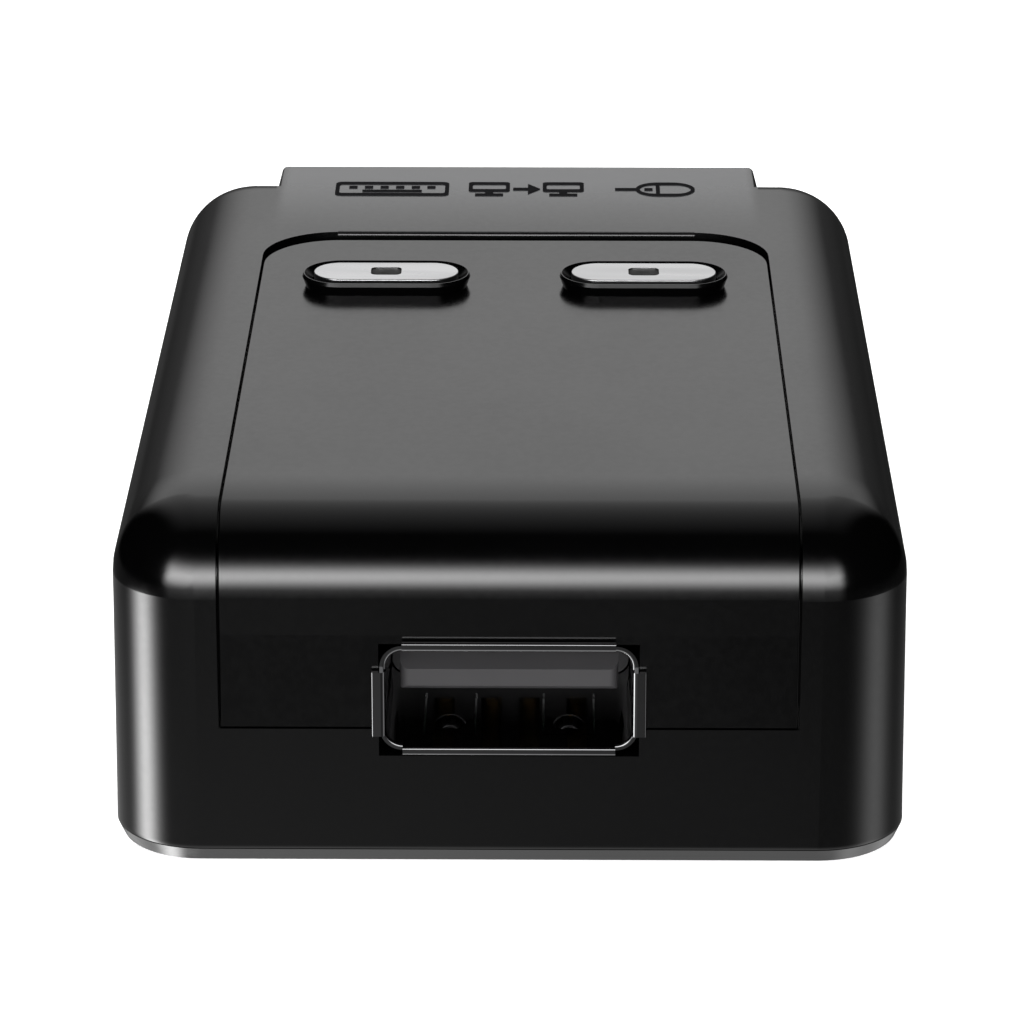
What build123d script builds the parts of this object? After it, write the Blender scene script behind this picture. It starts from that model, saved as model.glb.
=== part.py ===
"""Compact desktop KVM switch: black moulded case, two select buttons, USB-A front, three USB-C rear.

Units are millimetres. +X is right, +Y runs from the front socket to the rear sockets, +Z is up.
The origin is on the table, under the middle of the whole object.
"""
from build123d import *
import os
from math import atan, degrees, radians, tan

# ---- case, driving dimensions ----
TOP_WIDTH = 40.5          # width over the side walls at the top
BODY_LENGTH = 60.1        # front face to rear face
TOP_Z = 18.9              # top face above the table
FEET_Z = 0.41             # the rubber feet lift the base this far
FRONT_Y = -30.25          # front face
PORT_BLOCK_Y = 30.65      # flat rear face of the socket block
CORNER_R = 4.4            # plan corners
EDGE_R = 4.1              # big round along the top edges
DRAFT = 0.63              # side walls spread downwards, degrees
WALL = 1.5
SEAM = 0.05               # visible parting gap above the base cover
BASE_EDGE = 0.71          # visible edge of the base cover
BASE_UNDERCUT = 0.32      # the visible edge leans in by this much at its foot
BASE_FLOOR = 1.6
BASE_LIP_H = 1.1
FIT_GAP = 0.15

REAR_Y = FRONT_Y + BODY_LENGTH
BODY_MID_Y = (FRONT_Y + REAR_Y) / 2
BASE_TOP_Z = FEET_Z + BASE_EDGE
HOUSING_Z = BASE_TOP_Z + SEAM
FLOOR_Z = FEET_Z + BASE_FLOOR

# ---- socket block and its labels, moulded flush with the top ----
BLOCK_TOP_HALF = 14.45
BLOCK_SIDE_SLOPE = 15.0
BLOCK_EDGE_R = 0.35
ICON_Y = 25.8
ICON_H = 2.7
ICON_BAR = 0.44            # stroke of a line that runs along X
ICON_POST = 0.24           # stroke of a line that runs along Y
INK = 0.05

# ---- wrap cover: top panel that folds down over the front ----
COVER_HALF = 14.75
COVER_REAR_Y = 17.36
COVER_CORNER_R = 4.4
FLAP_Z = 7.82
COVER_SINK = 0.2
COVER_THICK = 1.2
COVER_GAP = 0.08
FLAP_KICK = 0.11          # the flap stands this much further out at its lower edge
COVER_REAR_GAP = 0.9
RECESS_ROUND = 0.26       # soft edge of the case behind the cover
UNDER_COVER = 1.3         # housing wall left under the cover
RECESS = COVER_SINK + COVER_THICK + 0.1
HOOK_W = 3.0
HOOK_T = 0.8
HOOKS = [(-13.2, -14.0), (13.2, -14.0), (-13.2, 1.0), (13.2, 1.0)]

# ---- buttons ----
BUTTON_X = 7.38
BUTTON_Y = 8.13
CAP_L = 8.3
CAP_W = 3.1
CAP_PROUD = 0.63
CAP_THICK = 0.6
CAP_EDGE_R = 0.07
PRESS = 0.35              # travel of a select button
BEZEL_FOOT = 0.47         # collar outline beyond the cap outline, at its undercut foot
BEZEL_KNEE = 0.67         # the same where the wall turns into the rim slope
BEZEL_CREST = 0.58        # the same at the top of the rim slope
BEZEL_LAND = 0.04
BEZEL_KNEE_H = 0.57       # heights above the cover
BEZEL_CREST_H = 0.77
BEZEL_FUNNEL_H = 0.34
BEZEL_CLEAR = 0.11
LENS_L = 1.75
LENS_W = 1.4
LENS_R = 0.35
STEM_X = 2.7
GUIDE_X = 3.0

# ---- boards ----
BOARD_TOP_Z = 6.62
BOARD_T = 1.2
BOARD_HALF = 17.5
BOARD_FRONT_Y = -26.6
BOARD_REAR_Y = 28.0
SMALL_BOARD_TOP_Z = 13.0
SMALL_BOARD_T = 1.0
SMALL_BOARD_HALF = 14.6
SMALL_BOARD_Y = (2.6, 14.6)
HEADER_Y = 12.3
SWITCH_CHIP = (0.0, -6.5, 8.0, 6.0, 1.1)    # x, y, width, depth, height
HUB_CHIP = (-3.6, 4.8, 6.4, 4.6, 1.1)
LEAD_REACH = 0.9
INDUCTOR = (10.6, -2.2)
HEADER_PITCH = 2.0
HEADER_PINS = 6
BOARD_POSTS = [(-12.6, -11.5), (12.6, -11.5), (-12.6, 12.3), (12.6, 12.3)]
CASE_POSTS = [(-16.3, -19.0), (16.3, -19.0), (-16.3, 17.0), (16.3, 17.0)]
SMALL_POSTS = [(-12.4, 12.4), (12.4, 12.4)]
FEET = [(-12.8, -25.0), (12.8, -25.0), (-12.8, 24.6), (12.8, 24.6)]
FOOT_D = 7.0
POST_WEB = 2.1            # rib from a case post to the side wall

# ---- USB-A receptacle (standard 12.5 x 5.12 opening) ----
A_OPEN_W = 12.5
A_OPEN_H = 5.12
A_SHEET = 0.3
A_LENGTH = 13.85
A_MID_Z = BOARD_TOP_Z + A_SHEET + A_OPEN_H / 2
A_CORNER_R = 0.85
A_TONGUE_W = 11.1
A_TONGUE_T = 1.84
A_TONGUE_Z = 9.5
A_TONGUE_SETBACK = 1.1
A_EDGE_R = 0.15           # rounding of the inner sheet edge at the mouth
A_LIP_REACH = 0.4
A_LIP_TURN = 0.25         # thickness of the turned-out lips
A_LIP_SPAN = 5.4
A_LIP_ROOT = 0.15
A_TOP_LIP = (0.6, 0.16, 0.09, 0.17)  # reach outwards, bend radius, edge radius, flare
A_LOW_LIP = (0.44, 0.13, 0.12, 0)
A_SIDE_LIP = (0.7, 0.24, 0.08, 0)
A_SIDE_LIP_Z = (7.52, 11.04)
A_FINGER_X = 3.05

# ---- USB-C receptacles (standard 8.34 x 2.56 opening) ----
C_NAMES = ["computer_1", "computer_2", "monitor"]
C_PITCH = 12.0
C_OUT_W = 8.94
C_OUT_H = 3.26
C_SHEET = 0.3
C_LENGTH = 7.35
C_MOUTH_Y = PORT_BLOCK_Y - 0.3
C_MID_Z = BOARD_TOP_Z + C_OUT_H / 2
C_TONGUE_W = 6.69
C_TONGUE_T = 0.7


def span(x0, x1, y0, y1, z0, z1):
    """Box between two corners."""
    middle = Pos((x0 + x1) / 2, (y0 + y1) / 2, (z0 + z1) / 2)
    return middle * Box(x1 - x0, y1 - y0, z1 - z0)


def centred_block(x, y, width, depth, z0, z1):
    """Box centred on x and y between two heights."""
    return Pos(x, y, (z0 + z1) / 2) * Box(width, depth, z1 - z0)


def rod(x, y, z0, z1, radius):
    """Upright cylinder between two heights."""
    return Pos(x, y, (z0 + z1) / 2) * Cylinder(radius, z1 - z0)


def stadium(x, y, length, width, z0, z1):
    """Upright stadium-shaped block."""
    return extrude(Pos(x, y, z0) * SlotOverall(length, width), amount=z1 - z0)


def rounded_block(x, y, width, depth, radius, z0, z1):
    """Upright block with rounded plan corners."""
    return extrude(Pos(x, y, z0) * RectangleRounded(width, depth, radius), amount=z1 - z0)


def joined(pieces):
    """Several solids of one node, kept apart."""
    return Compound(children=[solid for piece in pieces for solid in piece.solids()])


# ---------------------------------------------------------------- case
def body_solid(inset, floor_z):
    """The case's smooth outer form, shrunk by inset on every side but the bottom."""
    top_z = TOP_Z - inset
    outline = RectangleRounded(TOP_WIDTH - 2 * inset, BODY_LENGTH - 2 * inset, CORNER_R - inset)
    block = extrude(Pos(0, BODY_MID_Y, top_z) * outline, amount=-(top_z - floor_z), taper=-DRAFT)
    top_edges = block.edges().group_by(Axis.Z)[-1]
    return fillet(top_edges, EDGE_R - inset)


def port_block(floor_z):
    """Squared-off rear part that carries the sockets; its sides lean out downwards."""
    drop = TOP_Z - floor_z
    foot_half = BLOCK_TOP_HALF + drop * tan(radians(BLOCK_SIDE_SLOPE))
    face = Polyline(
        (-foot_half, floor_z),
        (-BLOCK_TOP_HALF, TOP_Z),
        (BLOCK_TOP_HALF, TOP_Z),
        (foot_half, floor_z),
        close=True,
    )
    block = extrude(Plane.XZ.offset(-PORT_BLOCK_Y) * make_face(face), amount=PORT_BLOCK_Y - 20)
    top_edges = block.edges().group_by(Axis.Z)[-1].filter_by(Axis.Y)
    block = fillet(top_edges, BLOCK_EDGE_R)
    rear_edges = block.edges().group_by(Axis.Y)[-1]
    above_floor = rear_edges.filter_by(lambda edge: edge.center().Z > floor_z + 0.1)
    return fillet(above_floor, BLOCK_EDGE_R * 0.8)


def cover_region(grow, rear_y):
    """Upright space that the wrap cover belongs to, grown outwards by grow."""
    front = FRONT_Y - 5
    rear = rear_y + grow
    plan = Pos(0, (front + rear) / 2) * Rectangle(2 * (COVER_HALF + grow), rear - front)
    plan = fillet(plan.vertices().group_by(Axis.Y)[-1], COVER_CORNER_R + grow)
    return extrude(Pos(0, 0, FLAP_Z - grow) * plan, amount=20)


def button_passage(side, length_add, z0, z1):
    """Stadium-shaped space around one button."""
    return stadium(side * BUTTON_X, BUTTON_Y, CAP_L + length_add, CAP_W + length_add, z0, z1)


def hook_slot(x, y, margin, z0, z1):
    """Upright slot or tab of one cover hook."""
    half_t = HOOK_T / 2 + margin
    half_w = HOOK_W / 2 + margin
    return span(x - half_t, x + half_t, y - half_w, y + half_w, z0, z1)


def usb_c_x(number):
    """Place of one rear socket; the first is at the left seen from the front."""
    return (number - 1) * C_PITCH


def usb_c_outline(margin):
    """Section of a USB-C shell, grown by margin."""
    return SlotOverall(C_OUT_W + 2 * margin, C_OUT_H + 2 * margin)


def usb_c_bar(number, margin, y0, y1):
    """USB-C shaped bar along Y."""
    plane = Plane.XZ.offset(-y1)
    section = Pos(usb_c_x(number), C_MID_Z) * usb_c_outline(margin)
    return extrude(plane * section, amount=y1 - y0)


def recess_edge_round():
    """Material taken off to round the top edge behind the wrap cover."""
    half = COVER_HALF - COVER_CORNER_R + 0.2
    rear = COVER_REAR_Y + RECESS_ROUND
    low = TOP_Z - RECESS_ROUND
    corner = span(-half, half, COVER_REAR_Y - 0.2, rear, low, TOP_Z + 0.2)
    roll = Pos(0, rear, low) * Rot(0, 90, 0) * Cylinder(RECESS_ROUND, 2 * half + 1)
    return corner - roll


def housing():
    """Deep upper shell, open below, with the recess for the wrap cover."""
    outer = body_solid(0, HOUSING_Z) + port_block(HOUSING_Z)
    under_recess = body_solid(RECESS, 0)
    inner = (body_solid(WALL, 0) - cover_region(UNDER_COVER, COVER_REAR_Y)) + body_solid(
        RECESS + UNDER_COVER, 0
    )
    shell = outer - (cover_region(0, COVER_REAR_Y) - under_recess) - inner
    ceiling_z = TOP_Z - RECESS - UNDER_COVER
    for x, y in CASE_POSTS:
        post = rod(x, y, FLOOR_Z + 0.1, ceiling_z + 1.0, 2.3)
        side = 1 if x > 0 else -1
        web = centred_block(x + side * POST_WEB / 2, y, POST_WEB, 1.2, FLOOR_Z + 2, ceiling_z)
        shell += post + web
        shell -= rod(x, y, 0, 9.0, 1.12)
    for x, y in SMALL_POSTS:
        shell += rod(x, y, SMALL_BOARD_TOP_Z, ceiling_z + 0.3, 1.8)
        shell -= rod(x, y, 0, ceiling_z - 0.4, 0.82)
    for side in (-1, 1):
        shell -= button_passage(side, 1.5, ceiling_z - 1, TOP_Z)
    for x, y in HOOKS:
        shell -= hook_slot(x, y, 0.3, ceiling_z - 1, TOP_Z - 1)
    half_a = A_OPEN_W / 2 + A_SHEET + 0.06
    notch_z = BOARD_TOP_Z - 0.27
    shell -= span(-half_a, half_a, FRONT_Y - 1, FRONT_Y + 4, notch_z, 12.6)
    window_half = half_a + 0.9
    shell -= span(-window_half, window_half, FRONT_Y + RECESS - 0.5, FRONT_Y + 4, FLAP_Z, 13.6)
    for number in range(3):
        shell -= usb_c_bar(number, 0.18, REAR_Y - 3, PORT_BLOCK_Y + 1)
    return shell - recess_edge_round()


def base_cover():
    """Floor plate with a locating rim, board posts, foot pockets and screw holes."""
    drop = TOP_Z - BASE_TOP_Z
    spread = drop * tan(radians(DRAFT))
    plan = RectangleRounded(TOP_WIDTH + 2 * spread, BODY_LENGTH + 2 * spread, CORNER_R + spread)
    block_half = BLOCK_TOP_HALF + drop * tan(radians(BLOCK_SIDE_SLOPE))
    block_plan = Rectangle(2 * block_half, 2 * (PORT_BLOCK_Y - 20))
    lean = degrees(atan(BASE_UNDERCUT / BASE_EDGE))
    plate = extrude(Pos(0, BODY_MID_Y, BASE_TOP_Z) * plan, amount=-BASE_EDGE, taper=lean)
    plate += extrude(Pos(0, 20, BASE_TOP_Z) * block_plan, amount=-BASE_EDGE, taper=lean)
    inside = body_solid(WALL + FIT_GAP, 0)
    rim = inside & span(-40, 40, -40, 40, BASE_TOP_Z - 0.3, FLOOR_Z + BASE_LIP_H)
    hollow = body_solid(WALL + FIT_GAP + 1.2, 0) & span(-40, 40, -40, 40, FLOOR_Z, 10)
    cover = plate + (rim - hollow)
    for x, y in CASE_POSTS:
        cover -= rod(x, y, FLOOR_Z, 10, 2.6)
        cover -= rod(x, y, 0, 10, 1.3)
        cover -= rod(x, y, 0, FEET_Z + 1.0, 2.2)
    for x, y in BOARD_POSTS:
        cover += rod(x, y, FLOOR_Z - 0.2, BOARD_TOP_Z - BOARD_T, 2.2)
        cover -= rod(x, y, FLOOR_Z + 0.4, 10, 1.03)
    for x, y in FEET:
        cover -= rod(x, y, 0, FEET_Z + 0.5, FOOT_D / 2 + 0.1)
    return cover


def flap_kick():
    """Slim wedge that leans the flap's face out towards its lower edge."""
    face_y = FRONT_Y + COVER_SINK
    drop = TOP_Z - FLAP_Z
    spread = drop * tan(radians(DRAFT))
    profile = Polyline(
        (face_y, TOP_Z - EDGE_R),
        (face_y - spread - FLAP_KICK, FLAP_Z),
        (face_y + COVER_THICK / 2, FLAP_Z),
        (face_y + COVER_THICK / 2, TOP_Z - EDGE_R),
        close=True,
    )
    return extrude(Plane.YZ.offset(-COVER_HALF) * make_face(profile), amount=2 * COVER_HALF)


def wrap_cover():
    """Inlaid top panel that bends over the front edge down to the port."""
    skin = body_solid(COVER_SINK, 0) - body_solid(COVER_SINK + COVER_THICK, 0)
    region = cover_region(-COVER_GAP, COVER_REAR_Y - COVER_REAR_GAP + COVER_GAP)
    cover = (skin + flap_kick()) & region
    top_edges = cover.edges().group_by(Axis.Z)[-1]
    rear_edges = top_edges.filter_by(lambda edge: edge.center().Y > FRONT_Y + EDGE_R + 4)
    cover = fillet(rear_edges, 0.12)
    half_a = A_OPEN_W / 2 + A_SHEET + 0.06
    notch_top = A_MID_Z + A_OPEN_H / 2 + A_SHEET + 0.06
    cover -= span(-half_a, half_a, FRONT_Y - 1, FRONT_Y + 4, 0, notch_top)
    for side in (-1, 1):
        cover -= button_passage(side, 0.72, 0, 30)
    under_z = TOP_Z - COVER_SINK - COVER_THICK
    foot_z = TOP_Z - RECESS - UNDER_COVER - 1.2
    for x, y in HOOKS:
        side = 1 if x > 0 else -1
        tab = hook_slot(x, y, 0, foot_z, under_z + 0.2)
        barb_x = x + side * (HOOK_T / 2 + 0.3)
        barb = span(min(x, barb_x), max(x, barb_x), y - HOOK_W / 2, y + HOOK_W / 2, foot_z, foot_z + 0.9)
        cover += tab + barb
    return cover


def rubber_feet():
    """Four round feet in the pockets of the base cover."""
    feet = []
    for x, y in FEET:
        foot = rod(x, y, 0, FEET_Z + 0.48, FOOT_D / 2)
        feet.append(fillet(foot.edges().group_by(Axis.Z)[0], 0.2))
    return joined(feet)


def screw(x, y, seat_z, tip_z, shank_r, head_r, head_h, heads_up):
    """Cross-recess screw; its head rests on seat_z."""
    outward = 1 if heads_up else -1
    top = seat_z + outward * head_h
    head = rod(x, y, min(seat_z, top), max(seat_z, top), head_r)
    far_edges = head.edges().group_by(Axis.Z)[-1 if heads_up else 0]
    head = fillet(far_edges, head_h * 0.4)
    shank = rod(x, y, min(seat_z, tip_z), max(seat_z, tip_z), shank_r)
    tip_edges = shank.edges().group_by(Axis.Z)[0 if heads_up else -1]
    shank = chamfer(tip_edges, shank_r * 0.45)
    bolt = head + shank
    for turn in (0, 90):
        arm = Pos(x, y, top) * Rot(0, 0, turn) * Box(head_r * 1.2, head_r * 0.3, head_h)
        bolt -= arm
    return bolt


def case_screws():
    """Four screws up through the base cover into the housing posts."""
    seat = FEET_Z + 1.0
    return joined(screw(x, y, seat, 7.8, 1.1, 2.0, 0.85, False) for x, y in CASE_POSTS)


def board_screws():
    """Four screws that hold the main board on the base posts."""
    return joined(screw(x, y, BOARD_TOP_Z, 3.0, 1.0, 1.9, 1.1, True) for x, y in BOARD_POSTS)


def button_board_screws():
    """Two screws that hang the button board from the housing."""
    seat = SMALL_BOARD_TOP_Z - SMALL_BOARD_T
    return joined(screw(x, y, seat, 15.2, 0.8, 1.5, 0.9, False) for x, y in SMALL_POSTS)


# ---------------------------------------------------------------- label pictograms
def ink(sketch, x):
    """Printed mark on the top of the socket block."""
    return extrude(Pos(x, ICON_Y, TOP_Z) * sketch, amount=INK)


def outline(width, height, radius):
    """Rounded frame with the label's stroke widths."""
    hole = RectangleRounded(width - 2 * ICON_POST, height - 2 * ICON_BAR, radius * 0.5)
    return RectangleRounded(width, height, radius) - hole


def keyboard_mark():
    """Outline with a row of keys and a space bar."""
    marks = [outline(6.9, ICON_H, 0.4)]
    for column in range(6):
        marks.append(Pos((column - 2.5) * 0.95, 0.32) * Rectangle(0.5, 0.42))
    marks.append(Pos(0, -0.42) * Rectangle(3.6, 0.36))
    return marks


def screen_mark(x):
    """One screen on its stand."""
    screen = Pos(x, 0.42) * outline(2.5, ICON_H - 0.84, 0.25)
    neck = Pos(x, -0.75) * Rectangle(0.5, 0.5)
    foot = Pos(x, -1.15) * Rectangle(1.7, 0.4)
    return screen + neck + foot


def screens_mark():
    """Two screens with an arrow between them."""
    shaft = Pos(-0.35, 0) * Rectangle(0.9, ICON_BAR)
    tip = make_face(Polyline((0.1, -1.0), (0.85, 0), (0.1, 1.0), close=True))
    return [screen_mark(-2.25), shaft + tip, screen_mark(2.25)]


def mouse_mark():
    """Mouse outline with a wheel and a tail, lying on its side."""
    length = 3.6
    shell = SlotOverall(length, ICON_H) - SlotOverall(length - 2 * ICON_POST, ICON_H - 2 * ICON_BAR)
    split = Pos(-0.45, 0) * Rectangle(ICON_POST, ICON_H - ICON_BAR)
    tail = Pos(-length / 2 - 0.6, 0) * Rectangle(1.3, ICON_BAR)
    wheel = Pos(-1.02, 0) * Rectangle(0.5, 0.42)
    return [Pos(0.7, 0) * (shell + split + tail), Pos(0.7, 0) * wheel]


def label_marks():
    """Keyboard, screens and mouse pictograms printed on the socket block."""
    marks = []
    for x, group in ((-7.6, keyboard_mark()), (0.55, screens_mark()), (8.3, mouse_mark())):
        marks += [ink(sketch, x) for sketch in group]
    return joined(marks)


# ---------------------------------------------------------------- buttons
def ring_loft(side, low_add, high_add, z0, z1):
    """Stadium block whose outline changes evenly from z0 to z1."""
    low = Pos(side * BUTTON_X, BUTTON_Y, z0) * SlotOverall(CAP_L + 2 * low_add, CAP_W + 2 * low_add)
    high = Pos(side * BUTTON_X, BUTTON_Y, z1) * SlotOverall(CAP_L + 2 * high_add, CAP_W + 2 * high_add)
    return loft([low, high], ruled=True)


def bezel(side):
    """Glossy collar around one button: wall, rim slope, funnel and a neck through the cover."""
    seat_z = TOP_Z - COVER_SINK
    knee_z = seat_z + BEZEL_KNEE_H
    crest_z = seat_z + BEZEL_CREST_H
    mouth = BEZEL_CREST - BEZEL_LAND
    funnel_slope = (mouth - BEZEL_CLEAR) / (BEZEL_CREST_H - BEZEL_FUNNEL_H)
    above = 0.1
    collar = ring_loft(side, BEZEL_FOOT, BEZEL_KNEE, seat_z, knee_z)
    collar += ring_loft(side, BEZEL_KNEE, BEZEL_CREST, knee_z, crest_z)
    collar += button_passage(side, 0.68, seat_z - COVER_THICK, seat_z)
    collar -= ring_loft(
        side, BEZEL_CLEAR, mouth + above * funnel_slope, seat_z + BEZEL_FUNNEL_H, crest_z + above
    )
    return collar - button_passage(side, 2 * BEZEL_CLEAR, 0, 30)


def button_cap(side):
    """Silver top of one select button with its window."""
    top_z = TOP_Z + CAP_PROUD
    cap = button_passage(side, 0, top_z - CAP_THICK, top_z)
    cap = fillet(cap.edges().group_by(Axis.Z)[-1], CAP_EDGE_R)
    window = rounded_block(side * BUTTON_X, BUTTON_Y, LENS_L, LENS_W, LENS_R, 0, 30)
    return cap - window


def button_carrier(side):
    """Black body under the cap: skirt, retaining flange, pusher stem and guide pin."""
    top_z = TOP_Z + CAP_PROUD - CAP_THICK
    flange_top = TOP_Z - RECESS + 0.02
    flange_low = flange_top - 0.5
    body = button_passage(side, -0.06, flange_low, top_z)
    body += button_passage(side, 0.95, flange_low, flange_top)
    stem_x = side * (BUTTON_X + STEM_X)
    guide_x = side * (BUTTON_X - GUIDE_X)
    body += rod(stem_x, BUTTON_Y, 15.3, flange_low + 0.1, 1.0)
    pin = rod(guide_x, BUTTON_Y, SMALL_BOARD_TOP_Z - SMALL_BOARD_T - 0.3, flange_low + 0.1, 0.55)
    body += chamfer(pin.edges().group_by(Axis.Z)[0], 0.15)
    light_well = rounded_block(side * BUTTON_X, BUTTON_Y, LENS_L, LENS_W, LENS_R, 0, 30)
    return body - light_well


def indicator_lens(side):
    """Smoky light pipe from the indicator to the window."""
    top_z = TOP_Z + CAP_PROUD - 0.05
    lens = rounded_block(
        side * BUTTON_X, BUTTON_Y, LENS_L - 0.04, LENS_W - 0.04, LENS_R - 0.02, 15.0, top_z
    )
    return fillet(lens.edges().group_by(Axis.Z)[-1], 0.06)


# ---------------------------------------------------------------- button board
def button_board():
    """Small board hung under the cover that carries the switches and indicators."""
    y0, y1 = SMALL_BOARD_Y
    z1 = SMALL_BOARD_TOP_Z
    z0 = z1 - SMALL_BOARD_T
    board = rounded_block(0, (y0 + y1) / 2, 2 * SMALL_BOARD_HALF, y1 - y0, 1.0, z0, z1)
    for x, y in SMALL_POSTS:
        board -= rod(x, y, z0 - 1, z1 + 1, 1.0)
    for side in (-1, 1):
        board -= rod(side * (BUTTON_X - GUIDE_X), BUTTON_Y, z0 - 1, z1 + 1, 0.8)
    for x in header_places():
        board -= rod(x, HEADER_Y, z0 - 1, z1 + 1, 0.45)
    return board


def header_places():
    """X of each pin between the two boards."""
    first = -(HEADER_PINS - 1) / 2 * HEADER_PITCH
    return [first + number * HEADER_PITCH for number in range(HEADER_PINS)]


def link_pins():
    """Square pins that join the boards."""
    pins = []
    for x in header_places():
        pin = span(x - 0.25, x + 0.25, HEADER_Y - 0.25, HEADER_Y + 0.25, 7.6, SMALL_BOARD_TOP_Z + 0.5)
        pins.append(pin)
    return joined(pins)


def link_header():
    """Insulator strip of the pins, under the button board."""
    half = HEADER_PINS * HEADER_PITCH / 2
    z1 = SMALL_BOARD_TOP_Z - SMALL_BOARD_T
    strip = span(-half, half, HEADER_Y - 1.0, HEADER_Y + 1.0, z1 - 1.4, z1)
    for x in header_places():
        strip -= span(x - 0.26, x + 0.26, HEADER_Y - 0.26, HEADER_Y + 0.26, z1 - 2, z1 + 1)
    return strip


def link_socket():
    """Socket strip on the main board that takes the pins."""
    half = HEADER_PINS * HEADER_PITCH / 2 + 0.3
    z1 = SMALL_BOARD_TOP_Z - SMALL_BOARD_T - 1.5
    strip = span(-half, half, HEADER_Y - 1.1, HEADER_Y + 1.1, BOARD_TOP_Z, z1)
    for x in header_places():
        strip -= span(x - 0.32, x + 0.32, HEADER_Y - 0.32, HEADER_Y + 0.32, BOARD_TOP_Z + 0.6, z1 + 1)
    return strip


def switch_centre(side):
    """X of the key switch under one button."""
    return side * (BUTTON_X + STEM_X)


def switch_body(side):
    """Moulded base of one key switch with its well."""
    x = switch_centre(side)
    z0 = SMALL_BOARD_TOP_Z
    body = span(x - 1.6, x + 1.6, BUTTON_Y - 1.6, BUTTON_Y + 1.6, z0, z0 + 1.35)
    body = chamfer(body.edges().filter_by(Axis.Z), 0.3)
    return body - rod(x, BUTTON_Y, z0 + 0.3, z0 + 3, 1.3)


def switch_plate(side):
    """Steel cover plate of one key switch."""
    x = switch_centre(side)
    z0 = SMALL_BOARD_TOP_Z + 1.35
    plate = span(x - 1.6, x + 1.6, BUTTON_Y - 1.6, BUTTON_Y + 1.6, z0, z0 + 0.15)
    return plate - rod(x, BUTTON_Y, z0 - 1, z0 + 1, 0.95)


def switch_dome(side):
    """Snap disc in the well of one key switch, drawn as a shallow cone with a flat crown."""
    z0 = SMALL_BOARD_TOP_Z + 0.3
    profile = Polyline(
        (1.2, 0),
        (0.5, 0.17),
        (0, 0.17),
        (0, 0.07),
        (0.46, 0.07),
        (0.78, 0),
        close=True,
    )
    disc = revolve(Plane.XZ * make_face(profile), Axis.Z)
    return Pos(switch_centre(side), BUTTON_Y, z0) * disc


def switch_plunger(side):
    """Pin of one key switch that the button pushes."""
    x = switch_centre(side)
    z0 = SMALL_BOARD_TOP_Z
    pin = rod(x, BUTTON_Y, z0 + 0.85, 15.3, 0.85)
    return pin + rod(x, BUTTON_Y, z0 + 0.85, z0 + 1.1, 1.15)


def switch_terminals():
    """Solder tabs of both key switches."""
    tabs = []
    z0 = SMALL_BOARD_TOP_Z
    for side in (-1, 1):
        x = switch_centre(side)
        for tab_x in (x - 1.0, x + 1.0):
            tabs.append(span(tab_x - 0.3, tab_x + 0.3, BUTTON_Y + 1.6, BUTTON_Y + 2.3, z0, z0 + 0.15))
            tabs.append(span(tab_x - 0.3, tab_x + 0.3, BUTTON_Y - 2.3, BUTTON_Y - 1.6, z0, z0 + 0.15))
    return joined(tabs)


def indicator_led(side):
    """Chip light under the window: base with a domed emitter."""
    x = side * BUTTON_X
    z0 = SMALL_BOARD_TOP_Z
    base = span(x - 0.8, x + 0.8, BUTTON_Y - 0.4, BUTTON_Y + 0.4, z0, z0 + 0.35)
    top = span(x - 0.5, x + 0.5, BUTTON_Y - 0.4, BUTTON_Y + 0.4, z0 + 0.35, z0 + 0.75)
    top = chamfer(top.edges().group_by(Axis.Z)[-1], 0.12)
    return base + top


# ---------------------------------------------------------------- main board
def a_leg_places():
    """Mounting tabs of the USB-A shell."""
    x = A_OPEN_W / 2 + A_SHEET / 2
    return [(side * x, y) for side in (-1, 1) for y in (-24.2, -18.6)]


def main_board():
    """Main circuit board with notches for the case posts and slots for the shell tabs."""
    z1 = BOARD_TOP_Z
    z0 = z1 - BOARD_T
    mid = (BOARD_FRONT_Y + BOARD_REAR_Y) / 2
    board = rounded_block(0, mid, 2 * BOARD_HALF, BOARD_REAR_Y - BOARD_FRONT_Y, 1.5, z0, z1)
    for x, y in CASE_POSTS:
        board -= rod(x, y, z0 - 1, z1 + 1, 2.7)
        edge = 30 if x > 0 else -30
        board -= span(min(x, edge), max(x, edge), y - 2.7, y + 2.7, z0 - 1, z1 + 1)
    for x, y in BOARD_POSTS:
        board -= rod(x, y, z0 - 1, z1 + 1, 1.2)
    for x, y in a_leg_places():
        board -= span(x - 0.3, x + 0.3, y - 1.4, y + 1.4, z0 - 1, z1 + 1)
    for x in a_contact_places():
        board -= rod(x, a_pin_y(), z0 - 1, z1 + 1, 0.45)
    return board


def chip(x, y, width, depth, height):
    """Flat chip package with a pin-one dimple."""
    body = centred_block(x, y, width, depth, BOARD_TOP_Z + 0.05, BOARD_TOP_Z + height)
    body = chamfer(body.edges().group_by(Axis.Z)[-1], 0.12)
    dimple = rod(x - width / 2 + 0.9, y + depth / 2 - 0.9, BOARD_TOP_Z + height - 0.06, 20, 0.3)
    return body - dimple


def chip_leads(x, y, width, depth, count):
    """Leads on the two long sides of a package."""
    leads = []
    pitch = (width - 1.0) / (count - 1)
    for number in range(count):
        lead_x = x - width / 2 + 0.5 + number * pitch
        for side in (-1, 1):
            lead_y = y + side * (depth / 2 + LEAD_REACH / 2)
            leads.append(centred_block(lead_x, lead_y, 0.3, LEAD_REACH, BOARD_TOP_Z, BOARD_TOP_Z + 0.2))
    return leads


def all_chip_leads():
    """Leads of both chips."""
    leads = chip_leads(SWITCH_CHIP[0], SWITCH_CHIP[1], SWITCH_CHIP[2], SWITCH_CHIP[3], 12)
    leads += chip_leads(HUB_CHIP[0], HUB_CHIP[1], HUB_CHIP[2], HUB_CHIP[3], 8)
    return joined(leads)


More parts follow.
